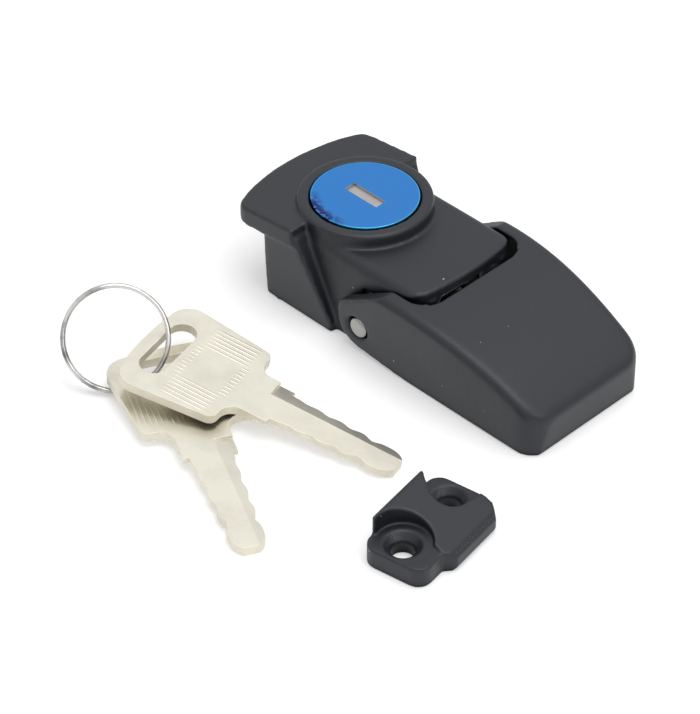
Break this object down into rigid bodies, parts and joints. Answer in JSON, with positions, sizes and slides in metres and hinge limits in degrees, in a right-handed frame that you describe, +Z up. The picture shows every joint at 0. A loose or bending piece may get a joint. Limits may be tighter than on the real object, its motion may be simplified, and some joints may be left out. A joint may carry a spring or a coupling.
{
  "type": "keyed draw latch",
  "caption": "Keyed draw latch for a cabinet door: black lever and housing with a blue-filmed lock, hidden draw hook, separate keeper, and keys on a split ring.",
  "frame": {"origin": "on the mounting face, midway between the rear screws, on the mid-plane of the latch", "axes": "+X towards the lever tip, +Z up away from the mounting face"},
  "size_m": [0.0829, 0.0798, 0.0201],
  "materials": {
    "black_coat": "satin black powder coat on zinc die-casting",
    "steel": "bright zinc plated steel",
    "barrel_zinc": "bare zinc die-casting",
    "brass": "turned brass",
    "blue_film": "glossy blue protective film",
    "nickel": "nickel plated",
    "ring_steel": "bright nickel plated spring wire"
  },
  "bodies": {
    "housing": {"housing": "black_coat", "lock_barrel": "barrel_zinc", "barrel_clip": "steel", "pivot_pins": "steel"},
    "plug": {"lock_plug": "brass", "face_cap": "steel", "protective_film": "blue_film", "keyway_shutter": "nickel", "wafer_1": "brass", "wafer_2": "brass", "wafer_3": "brass", "wafer_4": "brass", "wafer_5": "brass", "wafer_springs": "steel", "lock_cam": "steel", "cam_screw": "steel"},
    "lever": {"lever": "black_coat", "link_pin": "steel"},
    "hook": {"draw_hook": "steel"},
    "keeper": {"keeper": "black_coat"},
    "key_lower": {"key_lower": "nickel"},
    "key_upper": {"key_upper": "nickel"},
    "key_ring": {"key_ring": "ring_steel"}
  },
  "joints": [
    {"name": "lever_pivot", "type": "hinge", "parent": "housing", "child": "lever", "pos_m": [0.0206, 0, 0.0057], "axis": [0, -1, 0], "range_deg": [0, 80]},
    {"name": "hook_pivot", "type": "hinge", "parent": "lever", "child": "hook", "pos_m": [0.02549, 0, 0.00466], "axis": [0, -1, 0], "range_deg": [-77.5, 0]},
    {"name": "lock_turn", "type": "hinge", "parent": "housing", "child": "plug", "pos_m": [0.008, 0, 0.02], "axis": [0, 0, 1], "range_deg": [0, 90]},
    {"name": "keeper_lift", "type": "slide", "parent": "housing", "child": "keeper", "axis": [0, 0, 1], "range_m": [0, 0.03]},
    {"name": "key_lift", "type": "slide", "parent": "housing", "child": "key_lower", "axis": [0, 0, 1], "range_m": [0, 0.03]},
    {"name": "key_fan", "type": "hinge", "parent": "key_lower", "child": "key_upper", "pos_m": [0.00327, -0.04275, 0.005], "axis": [0, 0, 1], "range_deg": [0, 12]},
    {"name": "ring_turn", "type": "hinge", "parent": "key_lower", "child": "key_ring", "pos_m": [-0.0044, -0.04758, 0.00805], "axis": [0.607, -0.5374, 0.5855], "range_deg": [0, 180]}
  ],
  "couplings": [
    {"joint": "hook_pivot", "follows": "lever_pivot", "ratio": -0.9625}
  ]
}
